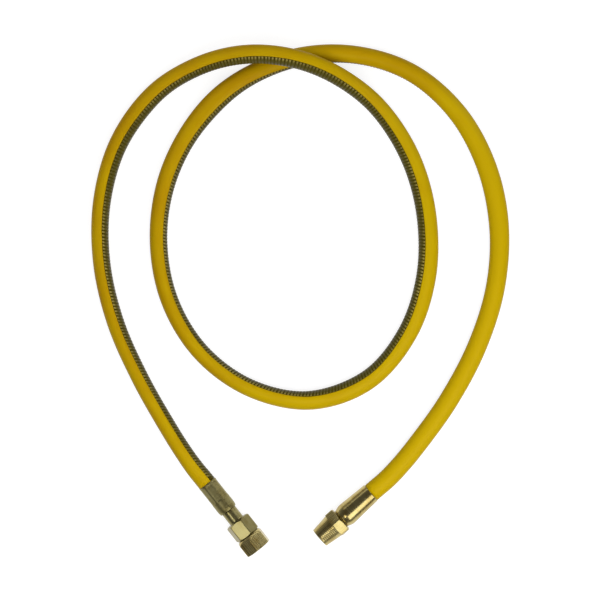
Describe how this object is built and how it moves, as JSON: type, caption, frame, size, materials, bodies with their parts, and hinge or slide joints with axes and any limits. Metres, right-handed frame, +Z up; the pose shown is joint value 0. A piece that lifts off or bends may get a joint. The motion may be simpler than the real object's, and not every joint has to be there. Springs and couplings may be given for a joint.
{
  "type": "flexible gas hose",
  "caption": "Yellow covered flexible gas hose with a swivel nut at one end and a tapered male nipple at the other, for joining a gas appliance to its supply.",
  "frame": {"origin": "on the floor, midway between the two end fittings as they lie", "axes": "+Z up from the floor, -Y along the swivel nut's axis out of its open mouth"},
  "size_m": [0.418, 0.4398, 0.0372],
  "materials": {
    "hose_cover": "glossy yellow cover with a dark ribbed strip",
    "dull_plating": "dull olive passivated steel",
    "bright_plating": "bright yellow-passivated steel",
    "spring_steel": "drawn spring wire",
    "washer_fibre": "dark pressed fibre"
  },
  "bodies": {
    "line": {"hose": "hose_cover", "nut_end_ferrule": "dull_plating", "nut_end_hose_sleeve": "hose_cover", "nut_end_tail": "dull_plating", "nut_retaining_ring": "spring_steel", "sealing_washer": "washer_fibre", "male_end_ferrule": "bright_plating", "male_end_hose_sleeve": "hose_cover", "male_end_nipple": "bright_plating"},
    "nut": {"swivel_nut": "bright_plating"}
  },
  "joints": [
    {"name": "nut_swivel", "type": "hinge", "parent": "line", "child": "nut", "pos_m": [-0.0511, -0.0111, 0.01385], "axis": [0, -1, 0], "continuous": true}
  ]
}
